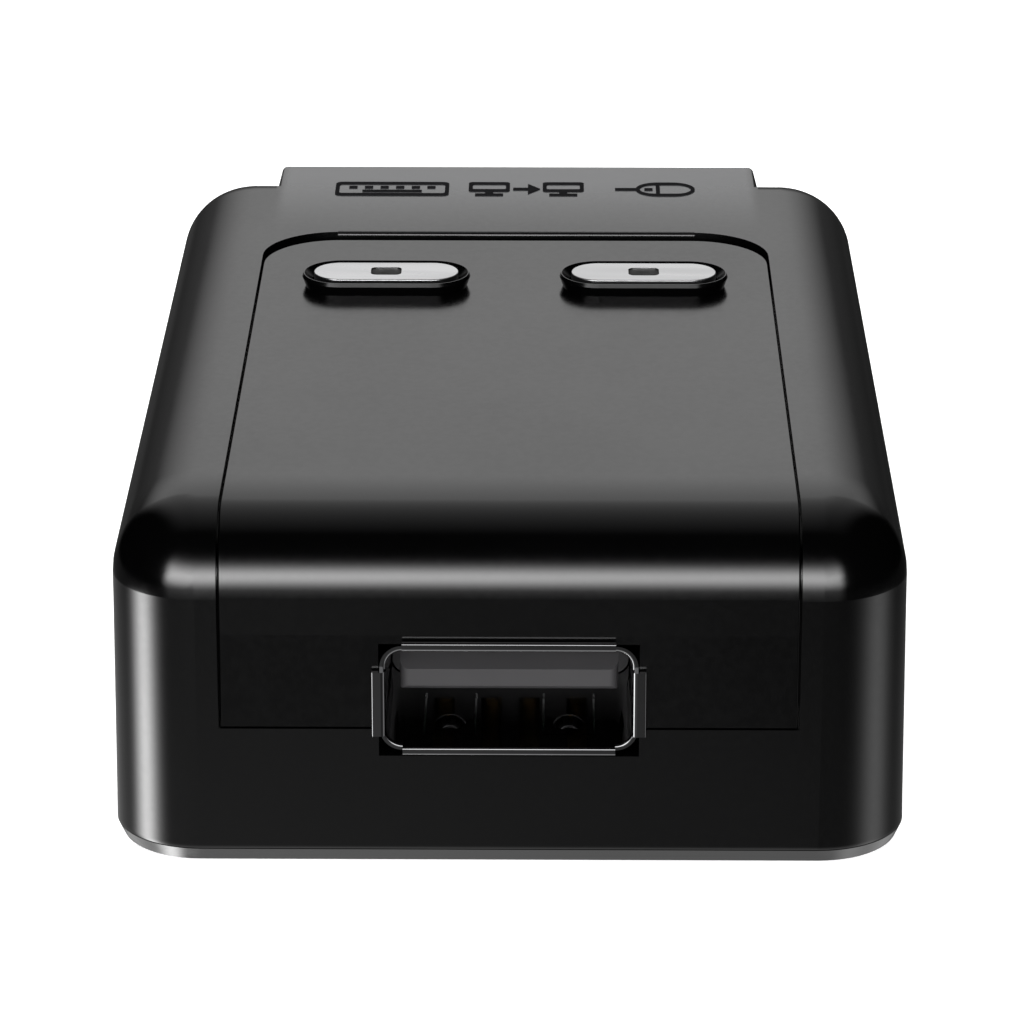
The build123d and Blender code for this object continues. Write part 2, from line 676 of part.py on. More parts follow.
def crystal():
    """Metal-can crystal beside the hub chip."""
    can = rounded_block(4.6, 5.4, 4.2, 2.0, 0.9, BOARD_TOP_Z, BOARD_TOP_Z + 1.3)
    return fillet(can.edges().group_by(Axis.Z)[-1], 0.25)


def chip_parts(places, length, width, height):
    """Row of small two-ended parts."""
    parts = []
    for x, y in places:
        body = centred_block(x, y, length, width, BOARD_TOP_Z, BOARD_TOP_Z + height)
        parts.append(chamfer(body.edges().filter_by(Axis.X), 0.08))
    return joined(parts)


def capacitors():
    """Ceramic capacitors near the sockets and chips."""
    rear = [(x, 20.6) for x in (-15.2, -9.8, -2.7, 2.7, 9.8)]
    middle = [(x, -0.6) for x in (-5.0, -1.5, 2.0, 5.5)]
    front = [(x, -14.2) for x in (-9.5, 9.5)]
    return chip_parts(rear + middle + front, 1.6, 0.8, 0.8)


def resistors():
    """Small resistors in two rows."""
    rows = [(-11.0 + 1.9 * number, 8.6) for number in range(4)]
    rows += [(4.0 + 1.9 * number, 8.6) for number in range(4)]
    rows += [(-8.0, -6.5 + 1.6 * number) for number in range(4)]
    return chip_parts(rows, 1.0, 0.5, 0.35)


def power_inductor():
    """Shielded coil of the board supply."""
    x, y = INDUCTOR
    body = rounded_block(x, y, 4.4, 4.4, 0.7, BOARD_TOP_Z, BOARD_TOP_Z + 2.0)
    cap = rod(x, y, BOARD_TOP_Z + 1.7, BOARD_TOP_Z + 2.2, 1.5)
    return fillet(body.edges().group_by(Axis.Z)[-1], 0.25) + cap


# ---------------------------------------------------------------- USB-A socket
def a_contact_places():
    """X of the four USB-A contacts."""
    return [-3.5, -1.0, 1.0, 3.5]


def a_pin_y():
    """Y of the contact tails in the board."""
    return FRONT_Y + A_LENGTH - 1.4


def a_tube(width, height, radius, y0, y1):
    """Rounded rectangular bar along Y at the height of the USB-A socket."""
    section = Pos(0, A_MID_Z) * RectangleRounded(width, height, radius)
    return extrude(Plane.XZ.offset(-y1) * section, amount=y1 - y0)


def lip_section(inner, outward, reach, bend_r, edge_r, flare):
    """Section of a turned-out lip: across the mouth first, along Y second."""
    tip = FRONT_Y - A_LIP_REACH
    outer = inner + outward * reach
    root = inner + outward * A_SHEET
    deep = FRONT_Y + A_LIP_ROOT
    corners = [(inner, deep), (inner + outward * flare, tip), (outer, tip)]
    corners += [(outer, tip + A_LIP_TURN), (root, tip + A_LIP_TURN), (root, deep)]
    face = make_face(Polyline(*corners, close=True))
    front = face.vertices().group_by(Axis.Y)[0].sort_by(Axis.X)
    bend, edge = (front[0], front[-1]) if outward > 0 else (front[-1], front[0])
    face = fillet(bend, bend_r)
    edge = face.vertices().group_by(Axis.Y)[0].sort_by(Axis.X)[-1 if outward > 0 else 0]
    return fillet(edge, edge_r)


def a_flat_lip(outward, sizes):
    """Turned-out lip along the top or bottom of the mouth."""
    section = lip_section(A_MID_Z + outward * A_OPEN_H / 2, outward, *sizes)
    upright = Plane(origin=(-A_LIP_SPAN, 0, 0), x_dir=(0, 0, 1), z_dir=(-1, 0, 0))
    return extrude(upright * section, amount=-2 * A_LIP_SPAN)


def a_side_lip(outward):
    """Turned-out lip on one side of the mouth."""
    section = lip_section(outward * A_OPEN_W / 2, outward, *A_SIDE_LIP)
    z0, z1 = A_SIDE_LIP_Z
    return extrude(Pos(0, 0, z0) * section, amount=z1 - z0)


def is_inner_mouth_edge(edge):
    """True for the edges around the opening, not for those around the outside of the sheet."""
    middle = edge.center()
    beside = abs(middle.X) - A_OPEN_W / 2
    above = abs(middle.Z - A_MID_Z) - A_OPEN_H / 2
    return max(beside, above) < 0.01 and beside + above < -0.2


def usb_a_shell():
    """Folded steel shell with turned-out lips, spring fingers and board tabs."""
    outer_w = A_OPEN_W + 2 * A_SHEET
    outer_h = A_OPEN_H + 2 * A_SHEET
    rear = FRONT_Y + A_LENGTH
    shell = a_tube(outer_w, outer_h, A_CORNER_R + A_SHEET, FRONT_Y, rear)
    shell -= a_tube(A_OPEN_W, A_OPEN_H, A_CORNER_R, FRONT_Y - 1, rear - A_SHEET)
    mouth = shell.edges().group_by(Axis.Y)[0]
    shell = fillet(mouth.filter_by(is_inner_mouth_edge), A_EDGE_R)
    shell += a_flat_lip(1, A_TOP_LIP) + a_flat_lip(-1, A_LOW_LIP) + a_side_lip(1) + a_side_lip(-1)
    finger_y = FRONT_Y + 2.75
    for side in (-1, 1):
        x = side * A_FINGER_X
        for outward in (-1, 1):
            wall_z = A_MID_Z + outward * (A_OPEN_H / 2 + A_SHEET / 2)
            slot = span(x - 1.35, x + 1.35, FRONT_Y + 1.3, FRONT_Y + 6.6, wall_z - 0.3, wall_z + 0.3)
            slot -= span(x - 1.25, x + 1.25, FRONT_Y + 1.4, FRONT_Y + 6.7, wall_z - 1, wall_z + 1)
            shell -= slot
            bump_r = 1.0
            bump_z = A_MID_Z + outward * (A_OPEN_H / 2 + bump_r - 0.42)
            bump = Pos(x, finger_y, bump_z) * Sphere(bump_r)
            low = A_MID_Z - A_OPEN_H / 2
            shell += bump & centred_block(x, finger_y, 2.2, 4.0, low, low + A_OPEN_H)
    for x, y in a_leg_places():
        shell += span(x - A_SHEET / 2, x + A_SHEET / 2, y - 1.1, y + 1.1, 4.6, BOARD_TOP_Z + 1.5)
    shell -= span(-5.2, 5.2, rear - 2.4, rear - 0.5, BOARD_TOP_Z - 1, BOARD_TOP_Z + A_SHEET + 0.05)
    return shell


def usb_a_insulator():
    """Moulded block at the back of the socket with the tongue."""
    rear = FRONT_Y + A_LENGTH - A_SHEET - 0.05
    block_front = FRONT_Y + 9.2
    block = a_tube(A_OPEN_W - 0.1, A_OPEN_H - 0.1, A_CORNER_R - 0.05, block_front, rear)
    tip = FRONT_Y + A_TONGUE_SETBACK
    z0 = A_TONGUE_Z
    z1 = A_TONGUE_Z + A_TONGUE_T
    profile = Polyline(
        (block_front + 0.5, z0),
        (tip + 0.2, z0),
        (tip, z0 + 0.2),
        (tip, z0 + 1.12),
        (tip + 0.85, z1),
        (block_front + 0.5, z1),
        close=True,
    )
    tongue = extrude(Plane.YZ.offset(-A_TONGUE_W / 2) * make_face(profile), amount=A_TONGUE_W)
    low_corners = tongue.edges().filter_by(
        lambda edge: abs(edge.center().Y - tip) < 0.01 and abs(edge.tangent_at(0.5).Z) > 0.9
    )
    tongue = fillet(low_corners, 0.45)
    insulator = block + tongue
    for x in a_contact_places():
        insulator -= span(x - 0.55, x + 0.55, tip + 0.9, rear + 1, z0 - 1.2, z0 + 0.25)
        insulator -= span(x - 0.55, x + 0.55, a_pin_y() - 0.35, rear + 1, 0, z0 + 0.25)
    return insulator


def usb_a_contacts():
    """Four contact strips along the tongue with tails through the board."""
    contacts = []
    front = FRONT_Y + A_TONGUE_SETBACK + 1.6
    tail = a_pin_y()
    for x in a_contact_places():
        strip = span(x - 0.5, x + 0.5, front, tail + 0.15, A_TONGUE_Z, A_TONGUE_Z + 0.2)
        strip += span(x - 0.5, x + 0.5, front + 0.7, front + 2.3, A_TONGUE_Z - 0.18, A_TONGUE_Z)
        strip += span(x - 0.3, x + 0.3, tail - 0.15, tail + 0.15, 4.9, A_TONGUE_Z + 0.2)
        contacts.append(strip)
    return joined(contacts)


# ---------------------------------------------------------------- USB-C sockets
def usb_c_shell(number):
    """Seamless steel shell of one rear socket, closed behind."""
    rear = C_MOUTH_Y - C_LENGTH
    shell = usb_c_bar(number, 0, rear, C_MOUTH_Y)
    shell -= usb_c_bar(number, -C_SHEET - 0.05, rear + 0.3, C_MOUTH_Y + 1)
    x = usb_c_x(number)
    for side in (-1, 1):
        for y in (rear + 1.4, C_MOUTH_Y - 3.6):
            leg_x = x + side * (C_OUT_W / 2 - 0.15)
            shell += span(leg_x - 0.15, leg_x + 0.15, y - 0.5, y + 0.5, BOARD_TOP_Z, C_MID_Z)
    return shell


def usb_c_tongue(number):
    """Insulator of one rear socket with its centre tongue."""
    x = usb_c_x(number)
    rear = C_MOUTH_Y - C_LENGTH + 0.35
    block = usb_c_bar(number, -C_SHEET - 0.1, rear, rear + 1.6)
    half_w = C_TONGUE_W / 2
    half_t = C_TONGUE_T / 2
    tongue = span(x - half_w, x + half_w, rear + 1, C_MOUTH_Y - 0.8, C_MID_Z - half_t, C_MID_Z + half_t)
    tip_edges = tongue.edges().group_by(Axis.Y)[-1].filter_by(Axis.X)
    tongue = chamfer(tip_edges, 0.18)
    step_half = half_t + 0.25
    step = span(x - half_w, x + half_w, rear + 1, rear + 2.6, C_MID_Z - step_half, C_MID_Z + step_half)
    return block + tongue + step


def usb_c_contacts(number):
    """Two rows of contact strips on one tongue."""
    strips = []
    x0 = usb_c_x(number) - 2.75
    rear = C_MOUTH_Y - C_LENGTH + 0.35
    for place in range(12):
        x = x0 + place * 0.5
        for side in (-1, 1):
            near = C_MID_Z + side * C_TONGUE_T / 2
            far = near + side * 0.05
            strips.append(
                span(x - 0.12, x + 0.12, rear + 2.7, C_MOUTH_Y - 1.5, min(near, far), max(near, far))
            )
    return joined(strips)


# ---------------------------------------------------------------- write every piece
def build_nodes():
    """Every piece of the switch by its node name."""
    nodes = {
        "housing": housing(),
        "base_cover": base_cover(),
        "wrap_cover": wrap_cover(),
        "rubber_feet": rubber_feet(),
        "case_screws": case_screws(),
        "label_marks": label_marks(),
        "button_board": button_board(),
        "button_board_screws": button_board_screws(),
        "board_link_pins": link_pins(),
        "board_link_header": link_header(),
        "board_link_socket": link_socket(),
        "key_switch_terminals": switch_terminals(),
        "main_board": main_board(),
        "main_board_screws": board_screws(),
        "switch_chip": chip(*SWITCH_CHIP),
        "hub_chip": chip(*HUB_CHIP),
        "chip_leads": all_chip_leads(),
        "crystal": crystal(),
        "capacitors": capacitors(),
        "resistors": resistors(),
        "power_inductor": power_inductor(),
        "usb_a_shell": usb_a_shell(),
        "usb_a_insulator": usb_a_insulator(),
        "usb_a_contacts": usb_a_contacts(),
    }
    for word, side in (("left", -1), ("right", 1)):
        nodes["button_bezel_" + word] = bezel(side)
        nodes["button_cap_" + word] = button_cap(side)
        nodes["button_carrier_" + word] = button_carrier(side)
        nodes["indicator_lens_" + word] = indicator_lens(side)
        nodes["indicator_led_" + word] = indicator_led(side)
        nodes["key_switch_body_" + word] = switch_body(side)
        nodes["key_switch_plate_" + word] = switch_plate(side)
        nodes["key_switch_dome_" + word] = switch_dome(side)
        nodes["key_switch_plunger_" + word] = switch_plunger(side)
    for number, name in enumerate(C_NAMES):
        nodes["usb_c_shell_" + name] = usb_c_shell(number)
        nodes["usb_c_tongue_" + name] = usb_c_tongue(number)
        nodes["usb_c_contacts_" + name] = usb_c_contacts(number)
    return nodes


os.makedirs("parts", exist_ok=True)
for node_name, node_shape in build_nodes().items():
    export_step(node_shape, "parts/" + node_name + ".step")
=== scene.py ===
import bpy
import math
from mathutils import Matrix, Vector

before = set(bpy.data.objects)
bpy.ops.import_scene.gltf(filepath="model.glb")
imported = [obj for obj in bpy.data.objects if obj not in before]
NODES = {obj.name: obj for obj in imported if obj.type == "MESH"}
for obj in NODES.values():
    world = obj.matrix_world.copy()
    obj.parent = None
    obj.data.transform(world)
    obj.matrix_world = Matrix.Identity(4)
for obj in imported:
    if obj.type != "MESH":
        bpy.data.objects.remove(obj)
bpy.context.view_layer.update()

MM = 0.001


def top_of(name):
    """Height of a node's highest point, in millimetres."""
    return max(corner[2] for corner in NODES[name].bound_box) / MM


# ---- camera: where it stands in the row frame, and how it looks ----
CAMERA_PLACE = Vector((2.05, -254.0, 106.5)) * MM
CAMERA_PITCH = math.radians(21.22)     # down from level
CAMERA_TURN = math.radians(-0.485)     # to the right of +Y
CAMERA_LENS = 169.1
SENSOR = 36.0

# ---- lamp over the table, in metres ----
LAMP_PLACE = Vector((-0.1, -0.5, 1.5))
LAMP_SIZE = 2.2
LAMP_WATTS = 22
FLOOR_HALF = 3.0

# ---- studio that the gloss mirrors. Azimuth is in degrees from the front (-Y) towards the right
# (+X), height in degrees above level, and every pair is a span that something comes in over. ----
STRIP_LEFT = -41.0            # long box in front: azimuth of its ends, which are soft
STRIP_RIGHT = 27.0
STRIP_END = 14.0
STRIP_HEIGHT = 12.6
STRIP_SPREAD = 9.2
STRIP_LEVEL = 14.0
STRIP_TURN = (-12.0, 10.0)    # over this azimuth it drops to its weaker right part
STRIP_WEAKER = 0.74

SIDE_BOXES = [                # low boxes at both sides: azimuth, spread, brightness
    (-77.5, 10.8, 15.5),
    (79.0, 14.5, 1.7),
]
SIDE_TOP = (-22.5, -15.0)     # height of their soft upper end

BACK_LEVEL = 1.4              # broad dim box from overhead down to the back
BACK_SLOW = (78.0, 146.0)     # degrees from the front horizon over the top: steady rise
BACK_QUICK = (141.0, 161.5)   # the rest of the rise
BACK_SLOW_SHARE = 0.62
BACK_SIDES = (0.36, 0.62)     # how far sideways it reaches, as the x of a direction
BACK_LOW = (6.0, 20.5)        # it weakens towards the horizon
BACK_LOW_SHARE = 0.1
BACK_UNDER = (-14.0, 3.0)     # and again below it
BACK_UNDER_SHARE = 0.05
BACK_RIGHT = (0.08, 0.34)     # it also falls off to the right and, less, to the left
BACK_RIGHT_SHARE = 0.6
BACK_LEFT = (-0.34, -0.1)
BACK_LEFT_SHARE = 0.8

ROOM_TURN = (-7.0, 7.0)       # dim room low down, weaker on the right
ROOM_LEVELS = (0.44, 0.16)
ROOM_FOOT = (-25.0, -18.5)    # at full strength below this height, and nearly gone above it
ROOM_FOOT_SHARE = 0.15
ROOM_TOP = (-12.0, -6.0)
TABLE_EDGE = (-48.0, -27.0)   # bright table top, below this height
TABLE_LEVEL = 1.6

# ---- the case, in millimetres: driving dimensions of the part, and what follows from them ----
TOP_WIDTH = 40.5
BODY_LENGTH = 60.1
FRONT_Y = -30.25
CORNER_R = 4.4
EDGE_R = 4.1                  # big round along the top edges
COVER_SINK = 0.2              # the cover lies this much lower, so its round is tighter
SEAM_Z = 1.12                 # top of the base cover's visible edge
BLOCK_HALF = 14.6             # half width of the socket block at the rear
TOP_Z = top_of("housing")
CAP_TOP_Z = top_of("button_cap_left")
BODY_MID_Y = FRONT_Y + BODY_LENGTH / 2
CREST_HALF_X = TOP_WIDTH / 2 - EDGE_R      # the crest is where the big round starts
CREST_HALF_Y = BODY_LENGTH / 2 - EDGE_R
CREST_CORNER = CORNER_R - EDGE_R

# ---- eased surface direction near the crest (millimetres) ----
SIDE_LEAN = (1.5, 2.8, 0.105)      # starts this far inside, ends this far out, most lean
FRONT_LEAN = (3.6, 2.2, 0.105)
STEEPEST = 0.95                    # level part of the direction at the outside of the round
BLOCK_PLAY = 0.05
BLOCK_FADE = 0.4
BLOCK_START = (10.0, 12.0)         # no lean on the socket block, which starts here behind the middle
NO_ROUND = 100.0                   # more than any distance on the case
NEARLY_ZERO = 0.0001
HALF_UP = (0.4, 0.8)               # upward part of the mesh's own direction
NEARLY_UP = (0.7, 0.9)
ROUND_Z = (TOP_Z - 2.1, TOP_Z - 1.6)       # heights over which the true round takes over
LEAN_Z = (ROUND_Z[0] - 1.0, ROUND_Z[0])
FOOT_Z = (SEAM_Z, SEAM_Z + 0.24)   # the foot of the walls leans in, on to the base's leaning edge
FOOT_LEAN = 0.2

# ---- finish of the plastic and the caps, and a painted sheen on the socket block (millimetres) ----
LEVEL_TOP_Z = (TOP_Z - 0.7, TOP_Z - 0.2)   # the level top has a slightly rougher skin
LEVEL_TOP_SKIN = 0.06
SHEEN_Y = (16.5, 29.5)            # painted sheen: zone where the top of the socket block is painted paler
SHEEN_X = (13.9, 14.7)
SHEEN_Z = (TOP_Z - 0.7, TOP_Z - 0.1)
CAP_EDGE_Z = (CAP_TOP_Z - 0.08, CAP_TOP_Z - 0.005)


# ---------------------------------------------------------------- node helpers
class Graph:
    """Short way to write shader nodes."""

    def __init__(self, tree):
        self.tree = tree

    def add(self, kind, **settings):
        node = self.tree.nodes.new(kind)
        for name, value in settings.items():
            setattr(node, name, value)
        return node

    def put(self, socket, value):
        if isinstance(value, bpy.types.NodeSocket):
            self.tree.links.new(value, socket)
        elif value is not None:
            socket.default_value = value

    def math(self, operation, a, b=None):
        node = self.add("ShaderNodeMath", operation=operation)
        for socket, value in zip(node.inputs, (a, b)):
            self.put(socket, value)
        return node.outputs[0]

    def ramp(self, value, low, high, to_low=0.0, to_high=1.0, shape="SMOOTHSTEP"):
        """value mapped from low..high to to_low..to_high, held at both ends."""
        node = self.add("ShaderNodeMapRange", interpolation_type=shape)
        for name, number in (("Value", value), ("From Min", low), ("From Max", high),
                             ("To Min", to_low), ("To Max", to_high)):
            self.put(node.inputs[name], number)
        return node.outputs["Result"]

    def bell(self, value, middle, spread):
        """Bell curve, 1 at the middle."""
        off = self.math("DIVIDE", self.math("SUBTRACT", value, middle), spread)
        return self.math("EXPONENT", self.times(off, off, -0.5))

    def times(self, *values):
        total = values[0]
        for value in values[1:]:
            total = self.math("MULTIPLY", total, value)
        return total

    def plus(self, *values):
        total = values[0]
        for value in values[1:]:
            total = self.math("ADD", total, value)
        return total

    def split(self, vector):
        node = self.add("ShaderNodeSeparateXYZ")
        self.put(node.inputs[0], vector)
        return node.outputs

    def object_point(self):
        """The point on the object, in metres."""
        return self.add("ShaderNodeTexCoord").outputs["Object"]

    def place(self):
        """x, y and z of the point on the object, in millimetres."""
        return [self.times(part, 1 / MM) for part in self.split(self.object_point())]

    def noise(self, scale, detail, stretch=None):
        """Noise with scale patches to a metre."""
        vector = self.object_point()
        if stretch:
            mapping = self.add("ShaderNodeMapping")
            self.put(mapping.inputs["Vector"], vector)
            self.put(mapping.inputs["Scale"], stretch)
            vector = mapping.outputs[0]
        node = self.add("ShaderNodeTexNoise")
        for name, value in (("Vector", vector), ("Scale", scale), ("Detail", detail)):
            self.put(node.inputs[name], value)
        return node.outputs["Fac"]

    def bump(self, height, distance, normal=None):
        node = self.add("ShaderNodeBump")
        for name, value in (("Height", height), ("Distance", distance), ("Normal", normal),
                            ("Strength", 1.0)):
            self.put(node.inputs[name], value)
        return node.outputs["Normal"]

    def tint(self, factor, first, second):
        """Colour from first to second, each three numbers or the output of a node."""
        node = self.add("ShaderNodeMix", data_type="RGBA")
        self.put(node.inputs["Factor"], factor)
        for name, value in (("A", first), ("B", second)):
            self.put(node.inputs[name], (*value, 1) if isinstance(value, tuple) else value)
        return node.outputs["Result"]


# ---------------------------------------------------------------- studio
def build_camera():
    data = bpy.data.cameras.new("camera")
    data.lens = CAMERA_LENS
    data.sensor_width = SENSOR
    data.clip_start = 0.01
    data.clip_end = 20
    camera = bpy.data.objects.new("camera", data)
    bpy.context.scene.collection.objects.link(camera)
    camera.rotation_euler = (math.pi / 2 - CAMERA_PITCH, 0, -CAMERA_TURN)
    camera.location = CAMERA_PLACE
    bpy.context.scene.camera = camera


def front_strip(g, azimuth, height):
    """Long box in front, which makes the bright line along the front edge."""
    left_end = (STRIP_LEFT - STRIP_END / 2, STRIP_LEFT + STRIP_END / 2)
    right_end = (STRIP_RIGHT - STRIP_END / 2, STRIP_RIGHT + STRIP_END / 2)
    across = g.times(
        g.ramp(azimuth, *STRIP_TURN, 1.0, STRIP_WEAKER),
        g.ramp(azimuth, *left_end),
        g.ramp(azimuth, *right_end, 1.0, 0.0),
    )
    return g.times(across, g.bell(height, STRIP_HEIGHT, STRIP_SPREAD), STRIP_LEVEL)


def side_boxes(g, azimuth, height):
    """Low boxes at both sides, which light the upright corners."""
    below = g.ramp(height, *SIDE_TOP, 1.0, 0.0)
    boxes = [
        g.times(g.bell(azimuth, middle, spread), below, level)
        for middle, spread, level in SIDE_BOXES
    ]
    return g.plus(*boxes)


def back_box(g, x, z, front, height):
    """Broad dim box that grows from overhead down to the back, which gives the top its grey."""
    over = g.math("DEGREES", g.math("ARCTAN2", z, front))
    over = g.plus(over, g.times(g.math("LESS_THAN", over, -90.0), 360.0))
    rise = g.plus(
        g.ramp(over, *BACK_SLOW, 0.0, BACK_SLOW_SHARE, shape="LINEAR"),
        g.ramp(over, *BACK_QUICK, 0.0, 1.0 - BACK_SLOW_SHARE),
    )
    return g.times(
        rise,
        g.ramp(g.math("ABSOLUTE", x), *BACK_SIDES, 1.0, 0.0),
        g.ramp(height, *BACK_LOW, BACK_LOW_SHARE, 1.0, shape="LINEAR"),
        g.ramp(height, *BACK_UNDER, BACK_UNDER_SHARE, 1.0, shape="LINEAR"),
        g.ramp(x, *BACK_RIGHT, 1.0, BACK_RIGHT_SHARE),
        g.ramp(x, *BACK_LEFT, BACK_LEFT_SHARE, 1.0),
        BACK_LEVEL,
    )


def room_and_table(g, azimuth, height):
    """Dim surroundings low down, and the bright table top."""
    room = g.times(
        g.ramp(azimuth, *ROOM_TURN, *ROOM_LEVELS),
        g.ramp(height, *ROOM_FOOT, 1.0, ROOM_FOOT_SHARE),
        g.ramp(height, *ROOM_TOP, 1.0, 0.0),
    )
    return g.plus(room, g.ramp(height, *TABLE_EDGE, TABLE_LEVEL, 0.0))


def build_world():
    world = bpy.data.worlds.new("studio")
    bpy.context.scene.world = world
    world.use_nodes = True
    world.node_tree.nodes.clear()
    g = Graph(world.node_tree)
    x, y, z = g.split(g.add("ShaderNodeTexCoord").outputs["Generated"])
    front = g.math("MULTIPLY", y, -1.0)
    height = g.math("DEGREES", g.math("ARCSINE", z))
    azimuth = g.math("DEGREES", g.math("ARCTAN2", x, front))
    total = g.plus(
        front_strip(g, azimuth, height),
        side_boxes(g, azimuth, height),
        back_box(g, x, z, front, height),
        room_and_table(g, azimuth, height),
    )
    sky = g.add("ShaderNodeBackground")
    g.put(sky.inputs["Strength"], total)
    out = g.add("ShaderNodeOutputWorld")
    g.put(out.inputs["Surface"], sky.outputs[0])


def build_floor():
    mesh = bpy.data.meshes.new("floor")
    side = FLOOR_HALF
    corners = [(-side, -side, 0), (side, -side, 0), (side, side, 0), (-side, side, 0)]
    mesh.from_pydata(corners, [], [(0, 1, 2, 3)])
    floor = bpy.data.objects.new("floor", mesh)
    bpy.context.scene.collection.objects.link(floor)
    material, _, shader = new_material("floor", specular=0.0)
    shader.inputs["Base Color"].default_value = (0.9, 0.9, 0.9, 1)
    shader.inputs["Roughness"].default_value = 0.9
    shader.inputs["Emission Color"].default_value = (1, 1, 1, 1)
    shader.inputs["Emission Strength"].default_value = 0.8
    mesh.materials.append(material)
    floor.visible_glossy = False


def build_lamp():
    data = bpy.data.lights.new("top_light", "AREA")
    data.shape = "DISK"
    data.size = LAMP_SIZE
    data.energy = LAMP_WATTS
    lamp = bpy.data.objects.new("top_light", data)
    bpy.context.scene.collection.objects.link(lamp)
    lamp.location = LAMP_PLACE
    lamp.rotation_euler = LAMP_PLACE.to_track_quat("Z", "Y").to_euler()
    lamp.visible_glossy = False
    lamp.visible_camera = False


# ---------------------------------------------------------------- surface direction of the case
def true_round(g, x, along, beside, ahead, edge_round):
    """x, y and z of the direction that the big round really faces, without its facets.

    beside and ahead say how far past the crest the point is, to the side and lengthwise.
    """
    side_part = g.math("MAXIMUM", g.plus(beside, CREST_CORNER), 0.0)
    front_part = g.math("MAXIMUM", g.plus(ahead, CREST_CORNER), 0.0)
    far = g.math("SQRT", g.plus(g.times(side_part, side_part), g.times(front_part, front_part)))
    far = g.math("MAXIMUM", far, NEARLY_ZERO)
    out = g.times(g.math("MAXIMUM", g.plus(far, -CREST_CORNER), 0.0), 1 / edge_round)
    out = g.math("MINIMUM", out, STEEPEST)
    up = g.math("SQRT", g.plus(1.0, g.times(out, out, -1.0)))
    share = g.math("DIVIDE", out, far)
    side_way = g.times(side_part, share, g.math("SIGN", x))
    front_way = g.times(front_part, share, g.math("SIGN", along))
    return side_way, front_way, up


def lean(g, past_crest, start, end, most):
    """Lean of the face: it grows steadily up to the crest, then dies away on the round."""
    rise = g.ramp(past_crest, -start, 0.0, 0.0, most, shape="LINEAR")
    fall = g.ramp(past_crest, 0.0, end, 1.0, 0.0, shape="LINEAR")
    return g.times(rise, fall, fall)


def eased_normal(g, edge_round):
    """Surface direction worked out from the true round, so that the shine has no crease.

    It starts to lean before the round begins, and leans in a little at the foot of the walls.
    """
    x, y, z = g.place()
    mesh_way = g.split(g.add("ShaderNodeTexCoord").outputs["Normal"])
    half = g.math("ABSOLUTE", x)
    along = g.plus(y, -BODY_MID_Y)
    in_block = g.times(
        g.math("GREATER_THAN", along, 0.0), g.math("LESS_THAN", half, BLOCK_HALF + BLOCK_PLAY)
    )
    beside = g.plus(half, -CREST_HALF_X)
    ahead = g.plus(g.math("ABSOLUTE", along), -CREST_HALF_Y, g.times(in_block, -NO_ROUND))
    round_way = true_round(g, x, along, beside, ahead, edge_round)

    faces_up = g.times(g.ramp(mesh_way[2], *HALF_UP), g.ramp(z, *LEAN_Z))
    on_block = g.times(
        g.ramp(half, BLOCK_HALF, BLOCK_HALF + BLOCK_FADE, 1.0, 0.0), g.ramp(along, *BLOCK_START)
    )
    off_block = g.plus(1.0, g.times(on_block, -1.0))
    sideways = g.times(lean(g, beside, *SIDE_LEAN), faces_up, off_block, g.math("SIGN", x))
    in_front = g.math("LESS_THAN", along, 0.0)
    forwards = g.times(lean(g, ahead, *FRONT_LEAN), faces_up, in_front, -1.0)
    foot = g.ramp(z, *FOOT_Z, -FOOT_LEAN, 0.0, shape="LINEAR")

    trust = g.times(g.ramp(mesh_way[2], *NEARLY_UP), g.ramp(z, *ROUND_Z))
    rest = g.plus(1.0, g.times(trust, -1.0))
    joined = g.add("ShaderNodeCombineXYZ")
    for socket, own, smooth, extra in zip(
        joined.inputs, mesh_way, round_way, (sideways, forwards, foot)
    ):
        g.put(socket, g.plus(g.times(own, rest), g.times(smooth, trust), extra))
    unit = g.add("ShaderNodeVectorMath", operation="NORMALIZE")
    g.put(unit.inputs[0], joined.outputs[0])
    world = g.add(
        "ShaderNodeVectorTransform", vector_type="NORMAL", convert_from="OBJECT", convert_to="WORLD"
    )
    g.put(world.inputs[0], unit.outputs[0])
    return world.outputs[0]


# ---------------------------------------------------------------- materials
def new_material(name, ior=1.5, metallic=0.0, specular=0.5):
    material = bpy.data.materials.new(name)
    material.use_nodes = True
    shader = material.node_tree.nodes["Principled BSDF"]
    shader.inputs["IOR"].default_value = ior
    shader.inputs["Metallic"].default_value = metallic
    shader.inputs["Specular IOR Level"].default_value = specular
    return material, Graph(material.node_tree), shader


def painted_sheen_zone(g, flow):
    """Where the socket block is painted paler as a painted sheen: its top, more and more towards the
    rear, varied by the flow.
    """
    x, y, z = g.place()
    return g.times(
        g.ramp(y, *SHEEN_Y),
        g.ramp(g.math("ABSOLUTE", x), *SHEEN_X, 1.0, 0.0),
        g.ramp(z, *SHEEN_Z),
        g.ramp(flow, 0.2, 0.8, 0.85, 1.15),
    )


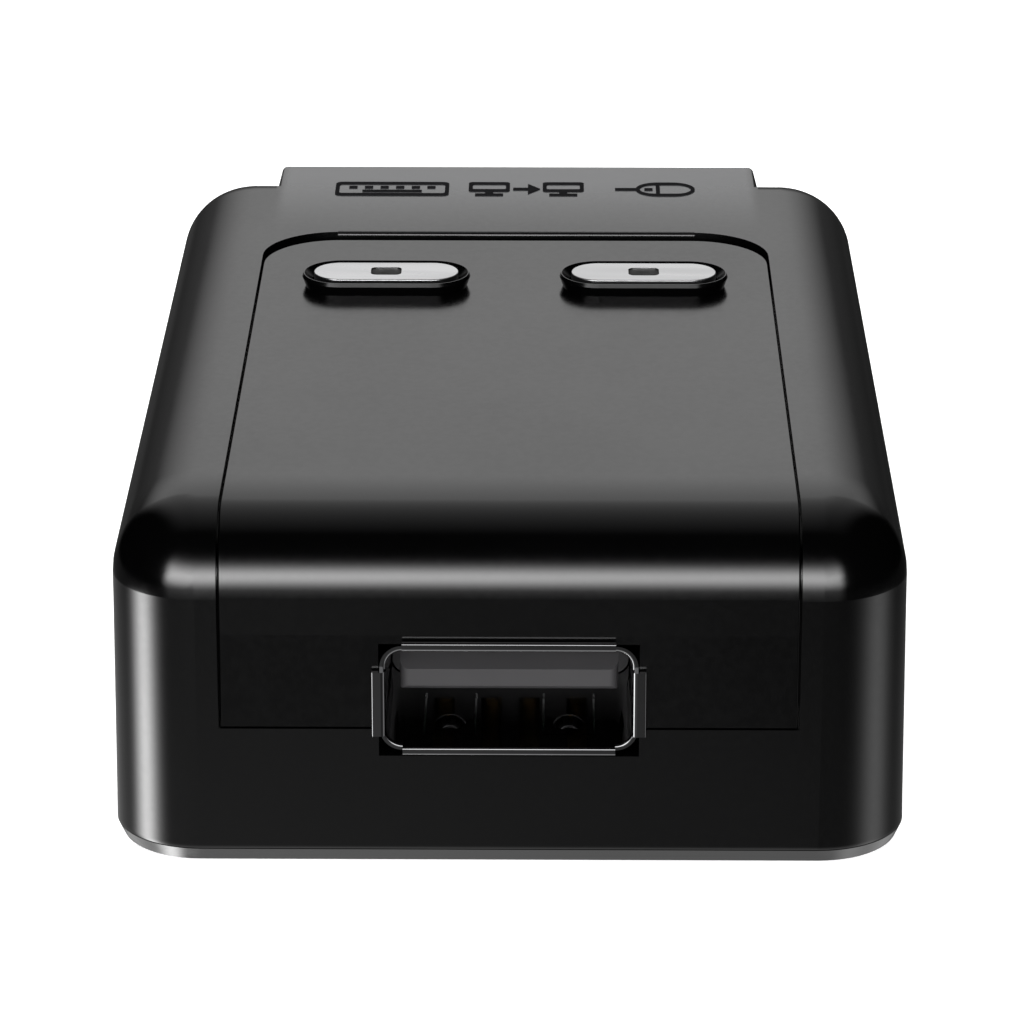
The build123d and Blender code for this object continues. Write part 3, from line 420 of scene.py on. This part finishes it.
def black_plastic(name, roughness=0.14, ior=1.5, edge_round=0.0, shade=0.0006, sheen_tone=0.0):
    """Smooth moulded plastic: faint flow in the gloss and a very fine skin.

    edge_round is the radius of the big round, and the last argument the tone of the painted sheen,
    the paler zone on the socket block; 0 for none.
    """
    material, g, shader = new_material(name, ior)
    flow = g.noise(90.0, detail=4.0)
    fine = g.noise(2600.0, detail=2.0)
    colour = g.tint(flow, (shade * 0.8,) * 3, (shade, shade, shade * 1.15))
    # painted sheen: the top of the socket block is painted paler and slightly bluish towards the
    # rear, in place of its lighter reflection
    if sheen_tone:
        sheen_colour = (sheen_tone, sheen_tone * 1.01, sheen_tone * 1.04)
        colour = g.tint(painted_sheen_zone(g, flow), colour, sheen_colour)
    g.put(shader.inputs["Base Color"], colour)
    wear = g.plus(g.ramp(flow, 0.3, 0.7, -0.012, 0.012), g.ramp(fine, 0.3, 0.7, -0.012, 0.012))
    level_top = g.ramp(g.place()[2], *LEVEL_TOP_Z, 0.0, LEVEL_TOP_SKIN)
    g.put(shader.inputs["Roughness"], g.plus(roughness, wear, level_top))
    smooth = eased_normal(g, edge_round) if edge_round else None
    g.put(shader.inputs["Normal"], g.bump(fine, 0.0000006, smooth))
    return material


def silver():
    """Satin metal finish of the button caps: fine lengthwise grain and a darker edge."""
    material, g, shader = new_material("cap_silver", metallic=1.0)
    grain = g.noise(700.0, detail=4.0, stretch=(0.12, 1.0, 1.0))
    cloud = g.noise(160.0, detail=2.0)
    face = g.tint(cloud, (0.7, 0.7, 0.705), (0.78, 0.78, 0.79))
    edge = g.ramp(g.place()[2], *CAP_EDGE_Z, 1.0, 0.0)
    g.put(shader.inputs["Base Color"], g.tint(edge, face, (0.12, 0.12, 0.122)))
    g.put(shader.inputs["Roughness"], g.ramp(grain, 0.25, 0.75, 0.24, 0.36))
    g.put(shader.inputs["Normal"], g.bump(grain, 0.0000015))
    return material


def metal(name, colour, roughness, spread=0.05):
    """Plated sheet metal with faint rolling marks."""
    material, g, shader = new_material(name, metallic=1.0)
    marks = g.noise(500.0, detail=4.0, stretch=(1.0, 0.2, 1.0))
    darker = tuple(value * 0.88 for value in colour)
    g.put(shader.inputs["Base Color"], g.tint(marks, darker, colour))
    g.put(shader.inputs["Roughness"], g.ramp(marks, 0.3, 0.7, roughness - spread, roughness + spread))
    g.put(shader.inputs["Normal"], g.bump(marks, 0.000001))
    return material


def matte(name, colour, roughness, specular=0.5, grain=0.000002, spread=0.06):
    """Matt plastic, rubber or laminate with a fine skin and uneven colour."""
    material, g, shader = new_material(name, specular=specular)
    cloud = g.noise(120.0, detail=3.0)
    fine = g.noise(1500.0, detail=3.0)
    darker = tuple(value * 0.86 for value in colour)
    g.put(shader.inputs["Base Color"], g.tint(cloud, darker, colour))
    g.put(shader.inputs["Roughness"], g.ramp(fine, 0.3, 0.7, roughness - spread, roughness + spread))
    g.put(shader.inputs["Normal"], g.bump(fine, grain))
    return material


def build_looks():
    """Materials by the words that node names hold; the first one that fits is taken."""
    return {
        # the housing gets a painted sheen on the top of its socket block
        "housing": black_plastic("case_black", edge_round=EDGE_R, sheen_tone=0.1),
        "wrap_cover": black_plastic("cover_black", ior=1.49, edge_round=EDGE_R - COVER_SINK),
        "base_cover": black_plastic("base_black", 0.18),
        "button_bezel": black_plastic("bezel_black", 0.12),
        "button_cap": silver(),
        "button_carrier": black_plastic("carrier_black", 0.45, shade=0.003),
        "indicator_lens": matte("lens_smoke", (0.014, 0.014, 0.013), 0.5, 0.08),
        "indicator_led": matte("led_body", (0.75, 0.73, 0.62), 0.4),
        "key_switch_plunger": matte("plunger_plastic", (0.5, 0.08, 0.05), 0.45),
        "key_switch_body": matte("switch_body", (0.02, 0.02, 0.022), 0.5),
        "key_switch_plate": metal("switch_plate", (0.62, 0.62, 0.63), 0.3),
        "key_switch_dome": metal("switch_dome", (0.66, 0.66, 0.66), 0.25),
        "terminals": metal("tinned_metal", (0.7, 0.69, 0.67), 0.32),
        "insulator": matte("insulator_black", (0.03, 0.029, 0.0305), 0.5, 0.25),
        "tongue": matte("tongue_black", (0.02, 0.02, 0.021), 0.5, 0.3),
        "shell": metal("shell_steel", (0.12, 0.12, 0.122), 0.1),
        "contacts": metal("contact_gold", (0.30, 0.22, 0.10), 0.25),
        "screws": metal("screw_steel", (0.5, 0.5, 0.52), 0.35),
        "pins": metal("pin_gold", (0.8, 0.6, 0.27), 0.3),
        "leads": metal("lead_tin", (0.68, 0.68, 0.67), 0.35),
        "crystal": metal("crystal_can", (0.7, 0.7, 0.7), 0.28),
        "board": matte("board_laminate", (0.004, 0.012, 0.007), 0.45),
        "chip": matte("chip_black", (0.018, 0.018, 0.02), 0.55),
        "capacitors": matte("capacitor_body", (0.35, 0.26, 0.17), 0.4),
        "resistors": matte("resistor_body", (0.03, 0.03, 0.035), 0.4),
        "inductor": matte("inductor_body", (0.06, 0.06, 0.065), 0.6),
        "feet": matte("foot_rubber", (0.02, 0.02, 0.021), 0.8, 0.3, 0.000006),
        "label": matte("label_ink", (0.009, 0.009, 0.01), 0.85, 0.05),
    }


def paint(node, look):
    """Puts one material on every slot of a node."""
    slots = node.data.materials
    if not slots:
        slots.append(look)
    for number in range(len(slots)):
        slots[number] = look


build_camera()
build_world()
build_floor()
build_lamp()
looks = build_looks()
for name, node in NODES.items():
    paint(node, next(looks[word] for word in looks if word in name))
bpy.context.scene.view_settings.view_transform = "Standard"
